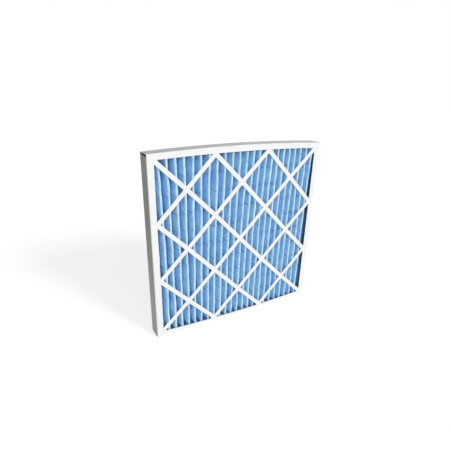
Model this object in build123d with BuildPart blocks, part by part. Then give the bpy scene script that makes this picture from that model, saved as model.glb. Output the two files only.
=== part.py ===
from build123d import *
import os
from math import asin, atan2, cos, degrees, hypot, pi, sin, tan

# A pleated panel air filter, in millimetres. The front face looks towards -Y, X runs along its
# width and Z is up. The origin is the middle of the bottom edge, on what the filter stands on.

# Outside of the finished frame, measured at the corners over the front edges of the outer tray
frame_width = 595.0
frame_height = 595.0
frame_depth = 48.0

# Both trays are cut and folded from the same board
card = 0.9
fold_radius = 1.6
side_border = 20.5
end_border = 17.0
strip_width = 13.5
lattice_cells = 3

# The springy pack bows the rim and both ends of the window, and stretches the lattice with them
rim_bow = 8.5
window_top_bow = 6.5
window_bottom_bow = 8.0
lattice_stretch = 9.0

# The outer tray's walls stop short of the front face, and its side walls spring out to the rear
wall_setback = 2.2
side_flare = 3.0

# The outer tray's side walls leave an open wedge under the top wall and a plain seam below
slit_front = 7.0
slit_rear = 4.0
bottom_seam = 0.6

# The inner tray's side walls stop well short of its top and bottom walls
corner_relief = 12.0

# Clearance between the inner tray's raw edges and the outer tray's rear fold
nest_clearance = 0.5

# The folded sheet
pleat_count = 25
media_thickness = 2.6
tip_radius = 3.2
tip_facets = 6
media_edge_setback = 3.0

# The wire grid on the rear side of the sheet
wire = 1.2
wire_row_pitch = 57.0
wire_margin = 40.0
wires_per_flank = 2
weld_gap = 0.05

# Adhesive between the pack and the inner tray, thicker where it beds the pleat ends
side_glue = 1.5
end_glue = 6.0
glue_width = 26.0

# Sizes that follow from the ones above
front_y = -frame_depth / 2
rear_y = frame_depth / 2
inner_wall_end = rear_y - fold_radius - nest_clearance
wall_start = front_y + wall_setback
flare_angle = degrees(atan2(side_flare, rear_y - wall_start))
window_width = frame_width - 2 * side_border
window_height = frame_height - 2 * end_border
window_middle = frame_height / 2
half_cell = window_width / lattice_cells / 2

cavity_width = frame_width - 4 * card
cavity_bottom = 2 * card
cavity_top = frame_height - 2 * card
pack_width = cavity_width - 2 * side_glue
end_bead_length = cavity_width - 2 * corner_relief
pack_bottom = cavity_bottom + end_glue
pack_top = cavity_top - end_glue
pack_height = pack_top - pack_bottom
rows_above_middle = int((pack_height / 2 - wire_margin) / wire_row_pitch)

# Middle line of the sheet: round tips front and rear joined by straight flanks
sheet_end_y = front_y + card + media_edge_setback
front_tip_y = front_y + card + media_thickness / 2 + tip_radius
rear_tip_y = rear_y - card - wire - media_thickness / 2 - tip_radius
tip_span = rear_tip_y - front_tip_y
first_tip_x = -(pack_width / 2 - media_thickness / 2 - tip_radius)
pleat_pitch = -2 * first_tip_x / pleat_count
tip_distance = hypot(pleat_pitch / 2, tip_span)
flank_angle = atan2(pleat_pitch / 2, tip_span) - asin(2 * tip_radius / tip_distance)
across = Vector(cos(flank_angle), sin(flank_angle))


def crossing(column, row):
    """Where two strips cross, counted in half cells from the middle of the window."""
    pull = lattice_stretch * sin(pi / 2 * row / lattice_cells)
    slack = 1 - (column * half_cell / (frame_width / 2)) ** 2
    return Vector(column * half_cell, window_middle + row * half_cell + pull * slack)


def strip_outline(points):
    """Corners of a strip of even width that runs through points."""
    near_side, far_side = [], []
    for index, point in enumerate(points):
        before = points[max(index - 1, 0)]
        after = points[min(index + 1, len(points) - 1)]
        half_width = (after - before).normalized().rotate(Axis.Z, 90) * strip_width / 2
        near_side.append(point + half_width)
        far_side.append(point - half_width)
    return near_side + far_side[::-1]


def flared_block(outline, end_y, end_radius):
    """An outline run back from the outer tray's front edge, its sides sprung out, its end rounded."""
    start_plane = Plane.XZ.offset(-wall_start)
    with BuildPart() as block:
        with BuildSketch(start_plane):
            add(outline.sketch_local)
        extrude(amount=-(end_y - wall_start))
        draft(block.faces().filter_by(Axis.X), neutral_plane=start_plane, angle=flare_angle)
        fillet(block.faces().sort_by(Axis.Y)[-1].edges(), radius=end_radius)
    return block.part


def mirrored(point, middle_x):
    """The same point on the other side of an upright line."""
    return Vector(2 * middle_x - point.X, point.Y)


def rear_tip(tip):
    """Middle of the bend at a rear tip, counted from the left."""
    return Vector(first_tip_x + tip * pleat_pitch, rear_tip_y)


def front_tip(pleat):
    """Middle of the bend at a pleat's front tip, half a pitch right of its rear tip."""
    return rear_tip(pleat) + Vector(pleat_pitch / 2, -tip_span)


def bend(middle, radius, start, end):
    """Corners of one folded tip, in even facets from one angle round to the other."""
    angles = [start + (end - start) * step / tip_facets for step in range(tip_facets + 1)]
    return [middle + Vector(radius * cos(angle), radius * sin(angle)) for angle in angles]


def sheet_face(shift):
    """Corners of one face of the folded sheet, shifted towards its rear side."""
    rear_radius = tip_radius + shift
    corners = [Vector(first_tip_x - rear_radius, sheet_end_y)]
    for pleat in range(pleat_count):
        start = pi - flank_angle if pleat > 0 else pi
        corners += bend(rear_tip(pleat), rear_radius, start, flank_angle)
        corners += bend(front_tip(pleat), tip_radius - shift, pi + flank_angle, 2 * pi - flank_angle)
    corners += bend(rear_tip(pleat_count), rear_radius, pi - flank_angle, 0)
    return corners + [Vector(rear_radius - first_tip_x, sheet_end_y)]


def left_flank(pleat, shift):
    """Rear and front ends of a pleat's left flank, shifted towards the rear side of the sheet."""
    rear_end = rear_tip(pleat) + across * (tip_radius + shift)
    front_end = front_tip(pleat) - across * (tip_radius - shift)
    return rear_end, front_end


def wire_path(shift):
    """Corners of a cross wire's edge: flat over the rear tips, chamfered inside the front ones."""
    rear_radius = tip_radius + shift
    half_flat = rear_radius * tan((pi / 2 - flank_angle) / 2)
    corners = [rear_tip(0) + Vector(0, rear_radius)]
    for pleat in range(pleat_count):
        middle_x = front_tip(pleat).X
        rear_corner = rear_tip(pleat) + Vector(half_flat, rear_radius)
        front_corner = left_flank(pleat, shift)[1]
        corners += [rear_corner, front_corner]
        corners += [mirrored(front_corner, middle_x), mirrored(rear_corner, middle_x)]
    return corners + [rear_tip(pleat_count) + Vector(0, rear_radius)]


os.makedirs("parts", exist_ok=True)

# Outline of the outer tray as seen from the front, with its bowed top
with BuildSketch(Plane.XZ) as outer_outline:
    with BuildLine():
        Polyline(
            (-frame_width / 2, frame_height),
            (-frame_width / 2, 0),
            (frame_width / 2, 0),
            (frame_width / 2, frame_height),
        )
        ThreePointArc(
            (frame_width / 2, frame_height),
            (0, frame_height + rim_bow),
            (-frame_width / 2, frame_height),
        )
    make_face()

# The inner tray nests one board thickness inside it
with BuildSketch(Plane.XZ) as inner_outline:
    add(outer_outline.sketch_local)
    offset(amount=-card)

# The window less the crossing strips leaves the cells that the die cuts out
with BuildSketch(Plane.XZ) as cells:
    with BuildLine():
        window_top = window_middle + window_height / 2
        window_bottom = window_middle - window_height / 2
        Line((-window_width / 2, window_bottom), (-window_width / 2, window_top))
        ThreePointArc(
            (-window_width / 2, window_top),
            (0, window_top + window_top_bow),
            (window_width / 2, window_top),
        )
        Line((window_width / 2, window_top), (window_width / 2, window_bottom))
        ThreePointArc(
            (window_width / 2, window_bottom),
            (0, window_bottom - window_bottom_bow),
            (-window_width / 2, window_bottom),
        )
    make_face()
    reach = lattice_cells + 1
    for rise in range(2 - 2 * lattice_cells, 2 * lattice_cells, 2):
        columns = range(max(-reach, -reach - rise), min(reach, reach - rise) + 1)
        for slope in (1, -1):
            with BuildLine():
                points = [crossing(slope * column, column + rise) for column in columns]
                Polyline(strip_outline(points), close=True)
            make_face(mode=Mode.SUBTRACT)

# Rear tray: its walls fold forward and wrap the front tray
tray_outside = flared_block(outer_outline, rear_y, fold_radius)
tray_inside = flared_block(inner_outline, rear_y - card, fold_radius - card)
with BuildPart() as rear_frame:
    add(tray_outside)
    add(tray_inside, mode=Mode.SUBTRACT)
    with BuildSketch(Plane.XZ.offset(-rear_y)):
        add(cells.sketch_local)
    extrude(amount=2 * card, both=True, mode=Mode.SUBTRACT)
    with BuildSketch(Plane.YZ):
        with BuildLine():
            slit_top = frame_height - card
            slit_back = rear_y - fold_radius
            Polyline(
                (wall_start, slit_top),
                (slit_back, slit_top),
                (slit_back, slit_top - slit_rear),
                (wall_start, slit_top - slit_front),
                close=True,
            )
        make_face()
        with BuildLine():
            Polyline(
                (wall_start, card),
                (slit_back, card),
                (slit_back, card + bottom_seam),
                (wall_start, card + bottom_seam),
                close=True,
            )
        make_face()
    extrude(amount=frame_width, both=True, mode=Mode.SUBTRACT)
rear_frame.part.label = "rear_frame"
export_step(rear_frame.part, "parts/rear_frame.step")

# Front tray: the face that is seen, with its walls folded back inside the rear tray's walls
with BuildPart() as front_frame:
    with BuildSketch(Plane.XZ.offset(-front_y)):
        add(inner_outline.sketch_local)
    extrude(amount=-(inner_wall_end - front_y))
    fillet(front_frame.faces().sort_by(Axis.Y)[0].edges(), radius=fold_radius)
    offset(amount=-card, openings=front_frame.faces().sort_by(Axis.Y)[-1])
    with BuildSketch(Plane.XZ.offset(-front_y)):
        add(cells.sketch_local)
    extrude(amount=2 * card, both=True, mode=Mode.SUBTRACT)
    with BuildSketch(Plane.YZ):
        relief_start = front_y + fold_radius
        relief_middle = (relief_start + inner_wall_end) / 2
        relief_length = inner_wall_end - relief_start
        with Locations((relief_middle, cavity_top - corner_relief / 2)):
            Rectangle(relief_length, corner_relief)
        with Locations((relief_middle, cavity_bottom + corner_relief / 2)):
            Rectangle(relief_length, corner_relief)
    extrude(amount=frame_width, both=True, mode=Mode.SUBTRACT)
front_frame.part.label = "front_frame"
export_step(front_frame.part, "parts/front_frame.step")

# Filter sheet: one band folded into pleats, its two ends laid flat along the side walls
with BuildPart() as pleated_media:
    with BuildSketch(Plane.XY.offset(pack_bottom)):
        with BuildLine():
            rear_face = sheet_face(media_thickness / 2)
            front_face = sheet_face(-media_thickness / 2)
            Polyline(rear_face + front_face[::-1], close=True)
        make_face()
    extrude(amount=pack_height)
pleated_media.part.label = "pleated_media"
export_step(pleated_media.part, "parts/pleated_media.step")

# Wire grid: cross wires folded with the sheet and upright wires welded over them on the flanks
with BuildPart() as support_grid:
    for row in range(-rows_above_middle, rows_above_middle + 1):
        row_height = window_middle + row * wire_row_pitch
        with BuildSketch(Plane.XY.offset(row_height - wire / 2)):
            with BuildLine():
                near = wire_path(media_thickness / 2)
                far = wire_path(media_thickness / 2 + wire)
                Polyline(near + far[::-1], close=True)
            make_face()
        extrude(amount=wire)
    with BuildSketch(Plane.XY.offset(pack_bottom)):
        upright_shift = media_thickness / 2 + wire + weld_gap + wire / 2
        for pleat in range(pleat_count):
            rear_end, front_end = left_flank(pleat, upright_shift)
            for step in range(1, wires_per_flank + 1):
                spot = rear_end + (front_end - rear_end) * step / (wires_per_flank + 1)
                with Locations((spot.X, spot.Y)):
                    Rectangle(wire, wire, rotation=degrees(flank_angle))
                with Locations(mirrored(spot, front_tip(pleat).X)):
                    Rectangle(wire, wire, rotation=-degrees(flank_angle))
    extrude(amount=pack_height)
support_grid.part.label = "support_grid"
export_step(support_grid.part, "parts/support_grid.step")

# Adhesive beads: the top one fills the rise of the bowed wall above the straight pleat ends, and
# both end beads leave the corners free, as the inner tray's walls do
with BuildPart() as top_glue_bead:
    with BuildSketch(Plane.XZ):
        add(inner_outline.sketch_local)
        offset(amount=-card)
        with Locations((0, pack_top)):
            Rectangle(
                end_bead_length,
                frame_height,
                align=(Align.CENTER, Align.MIN),
                mode=Mode.INTERSECT,
            )
    extrude(amount=glue_width / 2, both=True)
top_glue_bead.part.label = "top_glue_bead"
export_step(top_glue_bead.part, "parts/top_glue_bead.step")

with BuildPart() as bottom_glue_bead:
    with BuildSketch(Plane.XY.offset(cavity_bottom)):
        Rectangle(end_bead_length, glue_width)
    extrude(amount=end_glue)
bottom_glue_bead.part.label = "bottom_glue_bead"
export_step(bottom_glue_bead.part, "parts/bottom_glue_bead.step")

# The two side beads lie between the flat ends of the sheet and the side walls
for name, side in (("left_glue_bead", -1), ("right_glue_bead", 1)):
    with BuildPart() as side_glue_bead:
        with BuildSketch(Plane.XY.offset(cavity_bottom + corner_relief)):
            with Locations((side * (cavity_width - side_glue) / 2, 0)):
                Rectangle(side_glue, glue_width)
        extrude(amount=cavity_top - cavity_bottom - 2 * corner_relief)
    side_glue_bead.part.label = name
    export_step(side_glue_bead.part, "parts/" + name + ".step")
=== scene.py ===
# %% [markdown]
# # A pleated panel air filter
#
# A card-framed panel filter is a folded sheet of nonwoven wadding held between two shallow card
# trays. The trays, their lattice and the overall size come from the frame that is loaded here. This
# file gives them their finishes, and builds the soft sheet and the wires behind it as new meshes.

# %% Load the frame
from math import acos, atan2, cos, exp, hypot, pi, radians, sin

import bpy
from mathutils import Matrix, Vector, noise


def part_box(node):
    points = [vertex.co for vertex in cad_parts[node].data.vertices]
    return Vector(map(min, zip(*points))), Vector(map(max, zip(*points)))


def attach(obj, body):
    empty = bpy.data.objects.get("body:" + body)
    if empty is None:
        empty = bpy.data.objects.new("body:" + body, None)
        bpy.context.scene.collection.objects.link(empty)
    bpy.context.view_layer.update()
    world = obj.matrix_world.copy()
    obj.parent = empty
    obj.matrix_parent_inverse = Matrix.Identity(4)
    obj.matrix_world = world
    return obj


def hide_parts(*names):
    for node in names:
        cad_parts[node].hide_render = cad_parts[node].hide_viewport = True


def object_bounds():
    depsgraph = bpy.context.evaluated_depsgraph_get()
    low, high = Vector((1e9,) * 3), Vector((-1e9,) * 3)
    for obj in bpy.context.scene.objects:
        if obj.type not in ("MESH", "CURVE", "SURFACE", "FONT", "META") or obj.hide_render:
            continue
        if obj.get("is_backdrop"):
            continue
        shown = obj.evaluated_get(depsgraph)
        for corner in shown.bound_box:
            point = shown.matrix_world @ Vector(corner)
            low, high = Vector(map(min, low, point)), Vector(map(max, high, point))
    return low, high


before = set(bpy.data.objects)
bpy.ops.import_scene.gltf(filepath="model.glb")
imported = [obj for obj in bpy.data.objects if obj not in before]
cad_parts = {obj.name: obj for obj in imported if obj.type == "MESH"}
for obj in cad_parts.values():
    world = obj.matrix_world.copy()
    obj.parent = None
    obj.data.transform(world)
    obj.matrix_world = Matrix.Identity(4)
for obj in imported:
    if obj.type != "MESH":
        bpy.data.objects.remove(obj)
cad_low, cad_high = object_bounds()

MM = 0.001
width, depth, height = (high - low for low, high in zip(cad_low, cad_high))
print(f"frame {width:.3f} x {depth:.3f} x {height:.3f} m, nodes:", ", ".join(sorted(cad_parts)))

# %% [markdown]
# ## Arithmetic on shader sockets
#
# A finish is a small sum: a pale base, less some dirt, plus some fibre. Written as nodes it is hard
# to read, so the class below wraps a socket and lets +, -, * and abs build the Math nodes. Colours
# and vectors keep to Mix and Vector Math nodes, because a Math node would turn them grey.

# %% A socket that can be calculated with
class Socket:
    """What a node gives out, as a value that can be calculated with."""

    def __init__(self, nodes, link):
        self.nodes = nodes
        self.link = link

    def __add__(self, other):
        return self.nodes.math("ADD", self, other)

    def __sub__(self, other):
        return self.nodes.math("SUBTRACT", self, other)

    def __rsub__(self, other):
        return self.nodes.math("SUBTRACT", other, self)

    def __mul__(self, other):
        return self.nodes.math("MULTIPLY", self, other)

    def __abs__(self):
        return self.nodes.math("ABSOLUTE", self)

    __radd__ = __add__
    __rmul__ = __mul__

    def rise(self, start, end):
        """0 at start, 1 at end and smooth between; start may be the larger one."""
        sockets = {"Value": self, "From Min": start, "From Max": end}
        return self.nodes.add("ShaderNodeMapRange", {"interpolation_type": "SMOOTHSTEP"}, sockets)


class Nodes:
    """The nodes of one finish, or of the surroundings."""

    def __init__(self, tree):
        self.tree = tree
        tree.nodes.clear()

    def add(self, kind, settings=None, sockets=None, output=0):
        """Adds a node: its settings first, then the values or links of its sockets."""
        made = self.tree.nodes.new(kind)
        for name, value in (settings or {}).items():
            setattr(made, name, value)
        for name, value in (sockets or {}).items():
            if isinstance(value, Socket):
                self.tree.links.new(value.link, made.inputs[name])
            else:
                made.inputs[name].default_value = value
        return Socket(self, made.outputs[output]) if made.outputs else None

    def math(self, operation, *values):
        return self.add("ShaderNodeMath", {"operation": operation}, dict(enumerate(values)))

    def axis(self, vector, name):
        """The X, Y or Z part of a vector."""
        return self.add("ShaderNodeSeparateXYZ", sockets={0: vector}, output=name)

    def facing(self, name):
        """The X, Y or Z part of the surface normal."""
        return self.axis(self.add("ShaderNodeNewGeometry", output="Normal"), name)

    def stretched(self, vector, x, y, z):
        """A place with its axes scaled, so that a pattern made from it runs along one of them."""
        return self.add("ShaderNodeVectorMath", {"operation": "MULTIPLY"}, {0: vector, 1: (x, y, z)})

    def cloud(self, vector, scale, detail=3.0, roughness=0.55):
        sockets = {"Vector": vector, "Scale": scale, "Detail": detail, "Roughness": roughness}
        return self.add("ShaderNodeTexNoise", sockets=sockets)

    def blend(self, factor, first, second):
        """The first colour where factor is 0, the second where it is 1."""
        colours = [colour if isinstance(colour, Socket) else (*colour, 1.0) for colour in (first, second)]
        sockets = {0: factor, 6: colours[0], 7: colours[1]}
        return self.add("ShaderNodeMix", {"data_type": "RGBA"}, sockets, output=2)


print("sockets can be calculated with")

# %% [markdown]
# ## How each finish begins and ends
#
# Every finish here starts from the place in the object, because a pattern that is fixed to the place
# needs no unwrapping and runs on over an edge. It ends in one shader with a colour, a roughness and
# a relief. The relief is only a bump, because the fibres of card and wadding are finer than any mesh.

# %% Begin a finish, end it and lay it on
def new_finish(name):
    """A material with empty nodes, and the place that its patterns start from."""
    material = bpy.data.materials.new(name)
    material.use_nodes = True
    nodes = Nodes(material.node_tree)
    return material, nodes, nodes.add("ShaderNodeTexCoord", output="Object")


def close_finish(nodes, colour, roughness, height_map, height_step, **constants):
    """Ends a finish: its colour, its roughness, its relief in metres and the shader's constants."""
    relief = {"Height": height_map, "Distance": height_step, "Strength": 1.0}
    sockets = {"Base Color": colour, "Roughness": roughness}
    sockets["Normal"] = nodes.add("ShaderNodeBump", sockets=relief, output="Normal")
    sockets.update({name.replace("_", " "): value for name, value in constants.items()})
    surface = nodes.add("ShaderNodeBsdfPrincipled", sockets=sockets)
    nodes.add("ShaderNodeOutputMaterial", sockets={"Surface": surface})


def coat(node, material):
    """Puts a finish on a solid that is shown as the frame has it."""
    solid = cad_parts[node]
    solid.data.materials.clear()
    solid.data.materials.append(material)


print("finish helpers ready")

# %% [markdown]
# ## Camera
#
# The picture looks at the filter from its front left and a little above. The camera is set by its
# place, the way it looks and the way that is up in the picture, because three vectors say that
# without any guess at angles.

# %% Camera
CAMERA_PLACE = (-0.5333, -0.9174, 0.7689)
CAMERA_AHEAD = (0.4349, 0.8172, -0.3783)
CAMERA_UP = (0.1573, 0.3447, 0.9254)


def look_along(place, ahead, up):
    """The matrix of a camera or a lamp at a place, looking ahead with up upwards."""
    back = -Vector(ahead).normalized()
    side = Vector(up).cross(back).normalized()
    turn = Matrix((side, back.cross(side), back)).transposed().to_4x4()
    return Matrix.Translation(place) @ turn


camera = bpy.data.objects.new("camera", bpy.data.cameras.new("camera"))
camera.data.lens = 27.53
camera.data.sensor_width = 36.0
camera.data.clip_start = 0.05
camera.data.clip_end = 100.0
camera.matrix_world = look_along(CAMERA_PLACE, CAMERA_AHEAD, CAMERA_UP)
bpy.context.scene.collection.objects.link(camera)
bpy.context.scene.camera = camera
print("camera at", [round(value, 3) for value in camera.matrix_world.translation])

# %% [markdown]
# ## Light and surroundings
#
# Product pictures of filters are lit by large soft boxes, so nothing in them has a hard edge. Three
# suns with very wide discs do that here, because a sun has the same strength at every depth of a
# pleat. The surroundings are a weak grey for light that falls on the object, and plain white where
# the camera, a reflection or a view through something meets them.

# %% Light and surroundings
FILL = 0.33


def soft_sun(name, towards, strength, spread):
    """A sun that shines from the way towards, with a disc so wide that its shadows are soft."""
    lamp = bpy.data.objects.new(name, bpy.data.lights.new(name, "SUN"))
    lamp.data.energy = strength * pi
    lamp.data.angle = radians(spread)
    lamp.matrix_world = look_along((0, 0, 0), -Vector(towards), (0, 0, 1))
    bpy.context.scene.collection.objects.link(lamp)


def seen_directly(nodes):
    """1 on rays from the camera, a reflection or a view through glass, and 0 on other light."""
    rays = [
        nodes.add("ShaderNodeLightPath", output=f"Is {kind} Ray")
        for kind in ("Camera", "Glossy", "Transmission")
    ]
    return nodes.math("MINIMUM", rays[0] + rays[1] + rays[2], 1.0)


soft_sun("key", (0.42, -0.76, 0.52), 0.69, 16)
soft_sun("front", (0.05, -0.95, 0.30), 0.20, 60)
soft_sun("behind", (0.30, 0.90, 0.22), 0.30, 60)

world = bpy.data.worlds.new("surroundings")
world.use_nodes = True
bpy.context.scene.world = world
around = Nodes(world.node_tree)
strength = FILL + (1.0 - FILL) * seen_directly(around)
sky = around.add("ShaderNodeBackground", sockets={"Color": (1, 1, 1, 1), "Strength": strength})
around.add("ShaderNodeOutputWorld", sockets={"Surface": sky})
bpy.context.scene.view_settings.view_transform = "Standard"
print("three soft suns, fill", FILL)

# %% [markdown]
# ## Floor
#
# The filter stands on a white sweep. Where the camera or a reflection meets it, the floor glows a
# little by itself, so that it reads as white and still shows the soft shadow of the filter. For all
# other rays it is a plain pale surface, which throws some light back on the lower half of the frame.

# %% Floor
FLOOR_HALF = 15.0
FLOOR_DROP = 0.2 * MM
SWEEP_PLAIN = (0.50, 0.50, 0.50, 1)
SWEEP_SEEN = (0.40, 0.40, 0.40, 1)
SWEEP_GLOW = 0.70


def flat_floor(name, half_size, drop):
    """A flat square that lies a hair below the object, so that their faces don't share a plane."""
    signs = [(-1, -1), (1, -1), (1, 1), (-1, 1)]
    mesh = bpy.data.meshes.new(name)
    mesh.from_pydata([(x * half_size, y * half_size, -drop) for x, y in signs], [], [(0, 1, 2, 3)])
    floor = bpy.data.objects.new(name, mesh)
    bpy.context.scene.collection.objects.link(floor)
    return floor


floor_finish = bpy.data.materials.new("white sweep")
floor_finish.use_nodes = True
nodes = Nodes(floor_finish.node_tree)
plain = nodes.add("ShaderNodeBsdfDiffuse", sockets={"Color": SWEEP_PLAIN})
matt = nodes.add("ShaderNodeBsdfDiffuse", sockets={"Color": SWEEP_SEEN})
glow = nodes.add("ShaderNodeEmission", sockets={"Color": (1, 1, 1, 1), "Strength": SWEEP_GLOW})
bright = nodes.add("ShaderNodeAddShader", sockets={0: matt, 1: glow})
shown = nodes.add("ShaderNodeMixShader", sockets={0: seen_directly(nodes), 1: plain, 2: bright})
nodes.add("ShaderNodeOutputMaterial", sockets={"Surface": shown})

floor = flat_floor("floor", FLOOR_HALF, FLOOR_DROP)
floor.data.materials.append(floor_finish)
floor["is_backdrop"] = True
print("floor laid")

# %% [markdown]
# ## White board of the front tray
#
# The tray that faces the air is die-cut from board with a white clay coating on its outside and grey
# recycled fibre behind. The coating is nearly smooth, with a faint cloudiness. Where the die went
# through, the cut shows the fibre. The surface normal tells these three apart: the coated side
# looks forward, the back looks backward, and a cut looks along the board. A cut is only looked for
# in the depth of the front board, because the folded walls look that way too.

# %% White board
FRONT_Y = cad_low.y
BOARD = 0.9 * MM
CLAY = (0.875, 0.885, 0.885)
CLAY_CLOUD = (0.855, 0.862, 0.860)
CLAY_FLECK = (0.62, 0.60, 0.56)
UNCOATED = (0.50, 0.49, 0.46)
CUT_PALE = (0.72, 0.71, 0.68)
CUT_DARK = (0.58, 0.56, 0.52)


def white_board():
    material, nodes, place = new_finish("white clay-coated board")
    deep = nodes.axis(place, "Y")
    facing_y = nodes.facing("Y")
    clouds = nodes.cloud(place, 9.0, 4.0)
    fibres = nodes.cloud(nodes.stretched(place, 500, 900, 900), 1.0, 4.0, 0.65)
    flecks = nodes.cloud(place, 850.0, 2.0).rise(0.70, 0.78)
    colour = nodes.blend(clouds.rise(0.35, 0.7), CLAY, CLAY_CLOUD)
    colour = nodes.blend(flecks * 0.35, colour, CLAY_FLECK)
    back = facing_y.rise(0.3, 0.8)
    colour = nodes.blend(back, colour, UNCOATED)
    face_depth = deep.rise(FRONT_Y + 1.25 * BOARD, FRONT_Y + 1.05 * BOARD)
    cut = face_depth * abs(facing_y).rise(0.30, 0.15)
    layers = nodes.cloud(nodes.stretched(place, 120, 5000, 120), 1.0, 2.0)
    cut_colour = nodes.blend(layers.rise(0.35, 0.65), CUT_PALE, CUT_DARK)
    colour = nodes.blend(cut, colour, cut_colour)
    roughness = 0.50 + 0.18 * fibres + 0.2 * cut
    close_finish(nodes, colour, roughness, fibres + 2.0 * clouds, 0.04 * MM, Specular_IOR_Level=0.35)
    return material


coat("front_frame", white_board())
print("front tray coated white")

# %% [markdown]
# ## Grey board of the rear tray
#
# The outer tray shows its plain grey side. Recycled board is rolled in one direction, and its walls
# are strips cut along that direction, so the streaks run along each wall. All four walls lie in the
# depth of the frame, so a pattern that changes fast in depth and slowly the two other ways runs
# along every wall without asking which wall it is on. In the picture the upper part of the left
# wall is a little olive, and the top wall is darker, most of all at its left end and along its front
# edge. These tones are painted shade: the side walls turn darker and olive towards the top, where
# the floor lights them less, the top wall is painted darker, and a band of painted shadow runs along
# the front edge of every wall. Masks from the place and the surface normal set these tones, on the
# unseen right wall too.

# %% Grey board
wall_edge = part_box("rear_frame")[0].y
BOARD_PALE = (0.70, 0.725, 0.735)
BOARD_STREAK = (0.60, 0.62, 0.63)
BOARD_CLOUD = (0.56, 0.575, 0.58)
BOARD_FLECK = (0.26, 0.25, 0.23)
# Painted shade: the side walls turn darker and olive towards the top, where the floor lights them less.
OLIVE_SHADE_PALE = (0.50, 0.51, 0.44)
OLIVE_SHADE_STREAK = (0.40, 0.41, 0.36)
OLIVE_SHADE_STARTS, OLIVE_SHADE_FULL = 60 * MM, 420 * MM
# Painted shade on the top wall, darkest at its left end.
TOP_SHADE_GREY = (0.36, 0.38, 0.39)
TOP_SHADE_RIGHT, TOP_SHADE_LEFT = 150 * MM, -280 * MM
# Painted shadow: a dark band along the front edge of every wall, wider on the top.
EDGE_SHADE = (0.24, 0.25, 0.25)
EDGE_SHADE_WIDTH = 3.5 * MM
EDGE_SHADE_MORE_ON_TOP = 7 * MM
EDGE_SHADE_FULL = 0.5 * MM
PLAIN_CUT = (0.66, 0.64, 0.60)


def grey_board():
    material, nodes, place = new_finish("grey recycled board")
    facing_x, facing_y, facing_z = [nodes.facing(name) for name in "XYZ"]
    across, deep, up = [nodes.axis(place, name) for name in "XYZ"]
    streaks = nodes.cloud(nodes.stretched(place, 7, 420, 7), 1.0, 5.0, 0.7)
    clouds = nodes.cloud(place, 14.0, 5.0, 0.6)
    fibres = nodes.cloud(place, 700.0, 3.0, 0.6)
    flecks = nodes.cloud(nodes.stretched(place, 380, 900, 380), 1.0, 2.0).rise(0.66, 0.76)
    colour = nodes.blend(streaks.rise(0.25, 0.75), BOARD_PALE, BOARD_STREAK)
    colour = nodes.blend(clouds.rise(0.45, 0.75) * 0.4, colour, BOARD_CLOUD)
    # Painted shade: darker and olive towards the top of the side walls.
    upper_side_shade = abs(facing_x).rise(0.6, 0.95) * up.rise(OLIVE_SHADE_STARTS, OLIVE_SHADE_FULL)
    olive_shade = nodes.blend(streaks.rise(0.3, 0.7), OLIVE_SHADE_PALE, OLIVE_SHADE_STREAK)
    colour = nodes.blend(upper_side_shade, colour, olive_shade)
    on_top = facing_z.rise(0.5, 0.9)
    # Painted shade: the top wall darker, most of all at its left end.
    top_shade = on_top * (0.55 + 0.25 * across.rise(TOP_SHADE_RIGHT, TOP_SHADE_LEFT))
    colour = nodes.blend(top_shade, colour, TOP_SHADE_GREY)
    colour = nodes.blend(flecks * 0.6, colour, BOARD_FLECK)
    # Painted shadow in the step between the walls' front edges and the front tray.
    edge_shade_ends = wall_edge + EDGE_SHADE_WIDTH + EDGE_SHADE_MORE_ON_TOP * on_top
    edge_shade = deep.rise(edge_shade_ends, wall_edge + EDGE_SHADE_FULL)
    colour = nodes.blend(edge_shade * (0.5 + 0.5 * clouds), colour, EDGE_SHADE)
    cut = facing_y.rise(-0.6, -0.9)
    colour = nodes.blend(cut, colour, PLAIN_CUT)
    roughness = 0.62 + 0.2 * fibres
    close_finish(nodes, colour, roughness, fibres + 1.5 * streaks, 0.05 * MM, Specular_IOR_Level=0.3)
    return material


coat("rear_frame", grey_board())
print("rear tray coated grey")

# %% [markdown]
# ## The folded sheet: its shape
#
# The sheet is a soft wadding, 2.6 mm thick, folded into 25 pleats and glued by its edges to the
# trays. Extruding one zigzag would give hard card, not wadding, so each height gets a zigzag of
# its own. In each one the tips are circles and the flanks are their common tangents. The circles
# wander a little with height, they draw back where the pleat ends are pinched into the adhesive,
# and the flanks swell forward between the wires and dip where a wire holds them.

# %% Numbers of the pleats
PLEATS = 25
THICK = 2.6 * MM
TIP_RADIUS = 3.2 * MM
WIRE = 1.2 * MM
WIRE_PITCH = 57.0 * MM
WIRE_ROWS = 9
MIDDLE_Z = 297.5 * MM
END_GAP = 3.0 * MM

sheet_low, sheet_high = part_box("pleated_media")
front_limit = sheet_low.y
rear_limit = sheet_high.y
first_tip = sheet_low.x + THICK / 2 + TIP_RADIUS
pitch = -2 * first_tip / PLEATS
wire_rows = [MIDDLE_Z + (row - WIRE_ROWS // 2) * WIRE_PITCH for row in range(WIRE_ROWS)]
end_y = FRONT_Y + BOARD + END_GAP
print(f"{PLEATS} pleats at {pitch / MM:.2f} mm, wires at", [round(z / MM) for z in wire_rows])

# %% [markdown]
# The pleats of a real pack aren't evenly spaced, because each one is set by hand or by a comb before
# the adhesive takes. Here they stand almost evenly at the bottom, and up to 18 mm from their even
# places at the top. A straight line and a few sines along the pack say how far, and the two glued
# ends keep still. The last pleat also stands a little further to the right and to the back, because
# the picture shows a dark groove there.

# %% How each pleat wanders
def wander(seed, z, length):
    """A smooth chance value from about -1 to 1 that changes along the height of a pleat.

    Each seed has a pattern of its own, so each use adds another number to that of its pleat.
    """
    return noise.noise(Vector((seed * 7.31, z / length, seed * 1.7))) * 1.6


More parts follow.
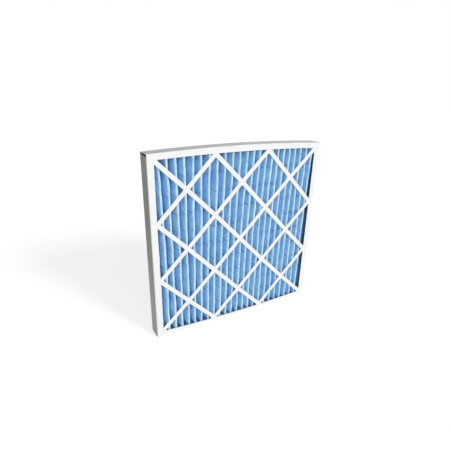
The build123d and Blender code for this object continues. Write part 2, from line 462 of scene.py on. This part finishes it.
# The drift in mm at the bottom and at the top: at the left and the right end, then of four sines.
DRIFT_LOW = (0.4, 2.8, -2.8, 0.8, 0.1, -0.6)
DRIFT_HIGH = (-14.6, 13.7, 14.8, 0.0, -2.8, -0.4)
HELD_PITCHES = 1.5
PINCH_REACH = 13.0 * MM
LAST_ASIDE = 2 * MM
LAST_BACK = 7 * MM
SWAY_MM, SWAY_LENGTH = 0.9, 0.11
RIPPLE_MM, RIPPLE_LENGTH = 0.8, 0.035
SET_OFF = 1.6 * MM
TIP_HOLD = 5 * MM


def drift(x, z):
    """How far a tip stands from its even place: from low to high with the square of the height."""
    share = (x - first_tip) / (-2 * first_tip)
    risen = ((z - sheet_low.z) / (sheet_high.z - sheet_low.z)) ** 2
    left, right, *waves = [low + (high - low) * risen for low, high in zip(DRIFT_LOW, DRIFT_HIGH)]
    slow = left * (1 - share) + right * share
    slow += sum(size * sin(turns * pi * share) for turns, size in enumerate(waves, 1))
    held = min(1.0, min(share, 1 - share) * PLEATS / HELD_PITCHES)
    return slow * held * MM


def near_wire(z, reach):
    """1 at a wire and 0 away from it."""
    return max(exp(-((z - row) / reach) ** 2) for row in wire_rows)


def pinch(z):
    """1 at the bedded ends of the pleats, fading towards their middle."""
    edge = min(z - sheet_low.z, sheet_high.z - z)
    return exp(-edge / PINCH_REACH)


def front_circle(pleat, z):
    """Middle and radius of a front tip at one height."""
    even = first_tip + (pleat + 0.5) * pitch
    last = pleat == PLEATS - 1
    x = even + drift(even, z) + (LAST_ASIDE if last else 0.0)
    sway = SWAY_MM * wander(pleat, z, SWAY_LENGTH)
    x += (sway + RIPPLE_MM * wander(pleat + 60, z, RIPPLE_LENGTH)) * MM
    x += SET_OFF * pinch(z) * wander(pleat + 20, 0, 1)
    radius = TIP_RADIUS * (1.0 + 0.16 * wander(pleat + 90, z, 0.05))
    back = 0.5 + 0.5 * wander(pleat + 30, z, 0.07) + 0.5 * near_wire(z, TIP_HOLD) + 1.2 * pinch(z)
    y = front_limit + radius + THICK / 2 + max(0.05, back) * MM + (LAST_BACK if last else 0.0)
    return Vector((x, y)), radius


def rear_circle(tip, z):
    """Middle and radius of a rear tip at one height. The two outer ones are glued and keep still."""
    even = first_tip + tip * pitch
    loose = 0.0 if tip in (0, PLEATS) else 1.0
    x = even + drift(even, z) + loose * 0.5 * wander(tip + 130, z, 0.09) * MM
    radius = TIP_RADIUS * (1.0 + loose * 0.08 * wander(tip + 150, z, 0.06))
    return Vector((x, rear_limit - radius - THICK / 2)), radius


tops = [drift(first_tip + (pleat + 0.5) * pitch, sheet_high.z) for pleat in range(0, PLEATS, 5)]
print("drift of every fifth pleat at the top in mm:", [round(top / MM, 1) for top in tops])

# %% [markdown]
# The zigzag itself is a list of places with the direction that points to the rear of the sheet. The
# two faces of the wadding are half a thickness to each side of it, and the wires behind it are
# offset from it in the same way, so that they always touch.

# %% One zigzag
FRONT_STEPS = 6
REAR_STEPS = 4
FLANK_STEPS = 3
FLANK_HOLD = 3.2 * MM


def unit(angle):
    return Vector((cos(angle), sin(angle)))


def tangent_angle(gap_x, gap_y, radii):
    """How far the flank between two tips leans from the depth of the frame."""
    return acos(radii / hypot(gap_x, gap_y)) - atan2(gap_y, gap_x)


def arc(middle, radius, start, end, steps, outside):
    """Places round a tip. The rear of the sheet is outside a rear tip and inside a front one."""
    angles = [start + (end - start) * step / steps for step in range(steps + 1)]
    return [(middle + unit(angle) * radius, unit(angle) * outside) for angle in angles]


def flank(start, end, rearward, swell):
    """Places between two tips, swollen towards the front of the sheet."""
    found = []
    for step in range(1, FLANK_STEPS + 1):
        share = step / (FLANK_STEPS + 1)
        found.append((start.lerp(end, share) - rearward * swell * sin(pi * share), rearward))
    return found


def flank_swell(side, z):
    """Forward swell of one flank: pillows between the wires and a dip at each of them."""
    pillow = 0.9 + 0.5 * wander(side + 200, z, 0.06)
    dip = near_wire(z, FLANK_HOLD) * (1.3 + 0.5 * wander(side + 300, z, 0.2))
    return (pillow - dip) * (1.0 - pinch(z)) * MM


def zigzag(z):
    """The middle line of the sheet at one height, from its left edge to its right one."""
    front = [front_circle(pleat, z) for pleat in range(PLEATS)]
    rear = [rear_circle(tip, z) for tip in range(PLEATS + 1)]
    left_end = Vector((rear[0][0].x - rear[0][1], end_y))
    line = [(left_end, unit(pi))]
    turn = pi
    for pleat in range(PLEATS):
        (here, here_radius), (tip, tip_radius) = rear[pleat], front[pleat]
        after, after_radius = rear[pleat + 1]
        left = tangent_angle(tip.x - here.x, here.y - tip.y, here_radius + tip_radius)
        right = tangent_angle(after.x - tip.x, after.y - tip.y, after_radius + tip_radius)
        line += arc(here, here_radius, turn, left, REAR_STEPS, 1)
        start, end = here + unit(left) * here_radius, tip - unit(left) * tip_radius
        line += flank(start, end, unit(left), flank_swell(2 * pleat, z))
        line += arc(tip, tip_radius, pi + left, 2 * pi - right, FRONT_STEPS, -1)
        turn = pi - right
        start, end = tip - unit(turn) * tip_radius, after + unit(turn) * after_radius
        line += flank(start, end, unit(turn), flank_swell(2 * pleat + 1, z))
    last, last_radius = rear[PLEATS]
    line += arc(last, last_radius, turn, 0.0, REAR_STEPS, 1)
    return line + [(Vector((last.x + last_radius, end_y)), unit(0))]


middle_line = zigzag(MIDDLE_Z)
unfolded = sum((b - a).length for (a, _), (b, _) in zip(middle_line, middle_line[1:]))
print(f"{len(middle_line)} places per zigzag, {unfolded:.3f} m long when unfolded")

# %% [markdown]
# Stacking the zigzags gives the sheet. The heights lie close together round each wire, where the
# sheet bends most, and further apart between them. Each zigzag is walked along its front face and
# back along its rear face, so the rows join into one closed skin.

# %% The sheet as a mesh
OFFSETS_AT_WIRE = (-7, -4, -2, 0, 2, 4, 7)
CLOSE = OFFSETS_AT_WIRE[-1] * MM
STEPS_BETWEEN = 4
STEPS_AT_EDGE = 8


def heights():
    """Heights of the zigzags, close together at the wires."""
    near = [row + offset * MM for row in wire_rows for offset in OFFSETS_AT_WIRE]
    gaps = [(low + CLOSE, high - CLOSE, STEPS_BETWEEN) for low, high in zip(wire_rows, wire_rows[1:])]
    gaps.append((sheet_low.z, wire_rows[0] - CLOSE, STEPS_AT_EDGE))
    gaps.append((wire_rows[-1] + CLOSE, sheet_high.z, STEPS_AT_EDGE))
    between = [low + (high - low) * step / steps for low, high, steps in gaps for step in range(1, steps)]
    return sorted(near + between + [sheet_low.z, sheet_high.z])


def wadding():
    """The sheet as one closed skin, from a ring of places at each height."""
    vertices = []
    levels = heights()
    for z in levels:
        line = zigzag(z)
        ring = [place - rearward * THICK / 2 for place, rearward in line]
        ring += [place + rearward * THICK / 2 for place, rearward in reversed(line)]
        vertices += [(spot.x, spot.y, z) for spot in ring]
    count = len(ring)
    faces = []
    for level in range(len(levels) - 1):
        base = level * count
        above = base + count
        for spot in range(count):
            beside = (spot + 1) % count
            faces.append((base + spot, base + beside, above + beside, above + spot))
    top = (len(levels) - 1) * count
    for spot in range(count // 2 - 1):
        other = count - 1 - spot
        faces.append((spot, other, other - 1, spot + 1))
        faces.append((top + spot, top + spot + 1, top + other - 1, top + other))
    mesh = bpy.data.meshes.new("filter_sheet")
    mesh.from_pydata(vertices, [], faces)
    mesh.polygons.foreach_set("use_smooth", [True] * len(mesh.polygons))
    piece = bpy.data.objects.new("filter_sheet", mesh)
    bpy.context.scene.collection.objects.link(piece)
    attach(piece, "root")
    return piece


filter_sheet = wadding()
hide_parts("pleated_media")
print("filter sheet:", 2 * len(filter_sheet.data.polygons), "triangles")

# %% [markdown]
# ## The folded sheet: its finish
#
# Nonwoven wadding is a mat of fine dyed fibres. Light that falls into a groove bounces between the
# flanks and picks up more blue each time. The folds of the picture are bluer than that alone makes
# them here, so painted shade makes the colour a little deeper with the depth of the fold. A painted
# highlight makes the tips paler still, and small tufts of loose fibre lighten it here and there.
# Clouds of several sizes, most of them drawn out along the pleats, break this up, because one even
# blue would look like plastic. The short dark dashes across the flanks are painted shade of the
# lines that the wires press into them. The right end of the pack is a dark groove in the picture,
# so both ends of the sheet get painted shade.

# %% Marks on the wadding
DASH_SPREAD = 9 * MM
DASH_HALF, DASH_FULL = 3.6 * MM, 1.0 * MM
GROOVE_STARTS, GROOVE_FULL = 270 * MM, 279 * MM
GROOVE_SHALLOW, GROOVE_DEEP = 2 * MM, 7 * MM
LEFT_STARTS, LEFT_FULL = -286 * MM, -290 * MM


# Painted shade: darker dashes where the cross wires dent the flanks.
def wire_dash_shade(nodes, place):
    """1 on the flanks where a cross wire presses on them, with gaps and small shifts in height."""
    uneven = nodes.cloud(place, 60.0, 2.0)
    above_first = nodes.axis(place, "Z") - wire_rows[0] + (uneven - 0.5) * DASH_SPREAD
    row = above_first * (1 / WIRE_PITCH) + 0.5
    off_wire = abs(nodes.math("FRACT", row) - 0.5) * WIRE_PITCH
    on_flank = abs(nodes.facing("X")).rise(0.25, 0.7)
    strength = nodes.cloud(nodes.stretched(place, 70, 20, 25), 1.0, 2.0).rise(0.30, 0.60)
    return off_wire.rise(DASH_HALF, DASH_FULL) * on_flank * strength


# Painted shade: the dark groove at the right end of the sheet, and its left end behind the corner slit.
def end_groove_shade(nodes, place):
    """1 at the right end of the sheet, apart from its front edge, and at the very left end."""
    across = nodes.axis(place, "X")
    deep = nodes.axis(place, "Y")
    behind_edge = deep.rise(front_limit + GROOVE_SHALLOW, front_limit + GROOVE_DEEP)
    right = across.rise(GROOVE_STARTS, GROOVE_FULL) * behind_edge
    return nodes.math("MAXIMUM", right, across.rise(LEFT_STARTS, LEFT_FULL))


print("dashes at", len(wire_rows), "wires, dark ends beyond", round(GROOVE_STARTS / MM), "mm")

# %% Blue wadding
# Painted shade: the folds a deeper blue than the tips, growing with depth.
TIP_LIT_DEPTH = 3 * MM
FOLD_SHADE_DEPTH = 26 * MM
# Painted highlight on the tips of the pleats.
TIP_HIGHLIGHT_FULL, TIP_HIGHLIGHT_ENDS = 1 * MM, 9 * MM
FOLD_SHADE_BLUE, FOLD_SHADE_PALE = (0.34, 0.64, 1.0), (0.46, 0.76, 1.0)
TIP_LIT_BLUE, TIP_LIT_PALE = (0.42, 0.72, 1.0), (0.60, 0.89, 1.0)
BETWEEN_FIBRES = (0.19, 0.43, 0.88)
DENSE_BLUE = (0.22, 0.44, 0.86)
THIN_BLUE = (0.55, 0.84, 1.0)
FUZZ_AND_HIGHLIGHT_BLUE = (0.58, 0.87, 1.0)
DASH_SHADE_BLUE = (0.08, 0.20, 0.48)
GROOVE_SHADE_BLUE = (0.04, 0.08, 0.18)


def blue_wadding():
    material, nodes, place = new_finish("blue nonwoven wadding")
    deep = nodes.axis(place, "Y")
    mat = nodes.cloud(nodes.stretched(place, 260, 260, 120), 1.0, 6.0, 0.7)
    tufts = nodes.cloud(place, 150.0, 4.0, 0.6)
    patches = nodes.cloud(nodes.stretched(place, 90, 90, 45), 1.0, 4.0, 0.65)
    # Painted shade deepens the blue with the depth of the fold; the tips get the lit copy.
    depth_shade_mask = deep.rise(front_limit + FOLD_SHADE_DEPTH, front_limit + TIP_LIT_DEPTH)
    fold_shaded = nodes.blend(patches.rise(0.35, 0.65), FOLD_SHADE_BLUE, FOLD_SHADE_PALE)
    tip_lit = nodes.blend(patches.rise(0.35, 0.65), TIP_LIT_BLUE, TIP_LIT_PALE)
    colour = nodes.blend(depth_shade_mask, fold_shaded, tip_lit)
    colour = nodes.blend(mat.rise(0.44, 0.64) * 0.75, colour, BETWEEN_FIBRES)
    dense = nodes.cloud(nodes.stretched(place, 42, 60, 34), 1.0, 3.0, 0.6).rise(0.50, 0.72)
    colour = nodes.blend(dense * 0.55, colour, DENSE_BLUE)
    thin = nodes.cloud(nodes.stretched(place, 38, 4, 7), 1.0, 2.0).rise(0.48, 0.68)
    colour = nodes.blend(thin * 0.55, colour, THIN_BLUE)
    # Painted highlight on the tips, mixed with small random tufts of loose fibre.
    tip_highlight = deep.rise(front_limit + TIP_HIGHLIGHT_ENDS, front_limit + TIP_HIGHLIGHT_FULL)
    tip_highlight_and_tufts = tip_highlight * (0.05 + 0.6 * patches.rise(0.38, 0.64)) + tufts * 0.12
    colour = nodes.blend(tip_highlight_and_tufts, colour, FUZZ_AND_HIGHLIGHT_BLUE)
    # Painted shade of the wire dents.
    colour = nodes.blend(wire_dash_shade(nodes, place) * 0.5, colour, DASH_SHADE_BLUE)
    # Painted shade at both ends of the sheet.
    colour = nodes.blend(end_groove_shade(nodes, place) * 0.9, colour, GROOVE_SHADE_BLUE)
    relief = 0.6 * mat + 0.8 * tufts
    roughness = 0.85 + 0.1 * mat
    close_finish(
        nodes, colour, roughness, relief, 0.9 * MM,
        Specular_IOR_Level=0.15, Sheen_Weight=0.25, Sheen_Roughness=0.6,
    )
    return material


filter_sheet.data.materials.append(blue_wadding())
print("sheet coloured")

# %% [markdown]
# ## Wires behind the sheet
#
# A grid of thin galvanised wires holds the pleats open against the air. The cross wires are folded
# together with the sheet and the upright ones are welded across them on the flanks. Both follow the
# same zigzags as the sheet: the cross wires lie on its rear face, and the upright ones lie behind
# them. Curves with a round bevel are the plain way to draw wire, and turning them into one mesh
# keeps the grid a single piece.

# %% Wire grid
UPRIGHT_STEPS = 24


def wire_curve(name, paths, radius):
    curve = bpy.data.curves.new(name, "CURVE")
    curve.dimensions = "3D"
    curve.bevel_depth = radius
    curve.bevel_resolution = 1
    curve.use_fill_caps = True
    for path in paths:
        spline = curve.splines.new("POLY")
        spline.points.add(len(path) - 1)
        for point, place in zip(spline.points, path):
            point.co = (*place, 1.0)
    return curve


def cross_wire(z):
    """One wire along the rear face of the sheet, from the first rear tip to the last."""
    line = zigzag(z)[3:-3]
    return [(*(place + rearward * (THICK + WIRE) / 2), z) for place, rearward in line]


def upright_wires(levels):
    """Upright wires at the first and the last place between the tips of every flank."""
    lines = [zigzag(z) for z in levels]
    per_pleat = REAR_STEPS + FRONT_STEPS + 2 * FLANK_STEPS + 2
    paths = []
    for pleat in range(PLEATS):
        first = 1 + pleat * per_pleat + REAR_STEPS + 1
        second = first + FLANK_STEPS + FRONT_STEPS + 1
        for start in (first, second):
            for step in (0, FLANK_STEPS - 1):
                spots = [line[start + step] for line in lines]
                paths.append([
                    (*(place + rearward * (THICK / 2 + 1.5 * WIRE)), z)
                    for (place, rearward), z in zip(spots, levels)
                ])
    return paths


tall = sheet_high.z - sheet_low.z
levels = [sheet_low.z + tall * step / UPRIGHT_STEPS for step in range(UPRIGHT_STEPS + 1)]
paths = [cross_wire(z) for z in wire_rows] + upright_wires(levels)
curve = wire_curve("wire_grid", paths, WIRE / 2)
drawn = bpy.data.objects.new("wire_grid_curve", curve)
bpy.context.scene.collection.objects.link(drawn)
grid_mesh = bpy.data.meshes.new_from_object(drawn.evaluated_get(bpy.context.evaluated_depsgraph_get()))
bpy.data.objects.remove(drawn)
wire_grid = bpy.data.objects.new("wire_grid", grid_mesh)
bpy.context.scene.collection.objects.link(wire_grid)
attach(wire_grid, "root")
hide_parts("support_grid")
print("wire grid:", len(paths), "wires,", len(grid_mesh.polygons), "faces")

# %% [markdown]
# Molten zinc sets in small crystals, so the wires are metal with a fine pattern of pale and dark
# grey, and the dark crystals are a little rougher than the pale ones.

# %% Galvanised finish
ZINC_PALE = (0.60, 0.61, 0.62)
ZINC_DARK = (0.44, 0.45, 0.47)


def galvanised():
    material, nodes, place = new_finish("galvanised wire")
    spangle = nodes.cloud(place, 380.0, 3.0)
    colour = nodes.blend(spangle.rise(0.3, 0.7), ZINC_PALE, ZINC_DARK)
    roughness = 0.34 + 0.2 * spangle
    close_finish(nodes, colour, roughness, spangle, 0.02 * MM, Metallic=1.0)
    return material


wire_grid.data.materials.clear()
wire_grid.data.materials.append(galvanised())
print("wires finished")

# %% [markdown]
# ## Adhesive
#
# The pack is bedded in adhesive along the four walls. Where the pleats end, the picture shows a dark
# blue line, so the adhesive is dark blue here: a blue tint, made darker by painted shade for the
# bottoms of the folds. It dries to a slightly waxy skin with small bubbles, so its finish has a low
# sheen and fine pits.

# %% Adhesive finish
# Painted shade darkens the blue of the adhesive.
SHADED_GLUE_BLUE = (0.14, 0.24, 0.40)
SHADED_GLUE_DARK = (0.08, 0.15, 0.28)


def adhesive():
    material, nodes, place = new_finish("blue adhesive")
    bubbles = nodes.cloud(place, 420.0, 2.0)
    flow = nodes.cloud(nodes.stretched(place, 30, 90, 90), 1.0, 3.0)
    colour = nodes.blend(flow.rise(0.3, 0.7), SHADED_GLUE_BLUE, SHADED_GLUE_DARK)
    roughness = 0.35 + 0.2 * flow
    close_finish(nodes, colour, roughness, bubbles + 2.0 * flow, 0.3 * MM, Specular_IOR_Level=0.5)
    return material


glue = adhesive()
for bead in ("top_glue_bead", "bottom_glue_bead", "left_glue_bead", "right_glue_bead"):
    coat(bead, glue)
print("adhesive finished")

# %% Sizes
dressed_low, dressed_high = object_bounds()
dressed = [round((high - low) / MM, 1) for low, high in zip(dressed_low, dressed_high)]
print("size of the dressed filter in mm:", dressed)
